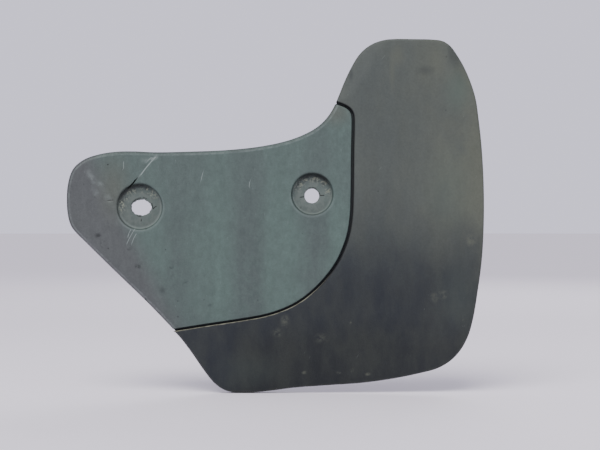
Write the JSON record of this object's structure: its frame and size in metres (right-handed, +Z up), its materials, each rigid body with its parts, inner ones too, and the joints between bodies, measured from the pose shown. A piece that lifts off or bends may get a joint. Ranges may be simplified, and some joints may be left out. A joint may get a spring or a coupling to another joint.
{
  "type": "mud flap",
  "caption": "Mud flap with a stiff carrier plate, two recessed fixing holes, and a rubber flap clamped behind its curved edge.",
  "frame": {"origin": "centre of the round fixing hole, on the plane where the fixing bosses bear on the vehicle", "axes": "+X towards the flap's free side, +Y from the visible front face towards the vehicle, +Z up"},
  "size_m": [0.23, 0.0141, 0.1953],
  "materials": {
    "carrier_plastic": "dusty grey-green moulded plastic",
    "flap_rubber": "dark weathered rubber",
    "plated_steel": "zinc-plated strip",
    "screw_steel": "plated screw"
  },
  "bodies": {
    "carrier": {"carrier_plate": "carrier_plastic", "rubber_flap_root": "flap_rubber", "clamp_strip": "plated_steel", "strip_screw_1": "screw_steel", "strip_screw_2": "screw_steel", "strip_screw_3": "screw_steel", "strip_screw_4": "screw_steel", "strip_screw_5": "screw_steel", "strip_screw_6": "screw_steel", "strip_screw_7": "screw_steel"},
    "flap": {"rubber_flap_blade": "flap_rubber"}
  },
  "joints": [
    {"name": "flap_flex", "type": "hinge", "parent": "carrier", "child": "flap", "pos_m": [0.03535, -0.007, -0.03535], "axis": [0.7071, 0, 0.7071], "range_deg": [-30, 30], "stiffness_Nm_per_rad": 0.6, "deforming": ["rubber_flap_blade"]}
  ]
}
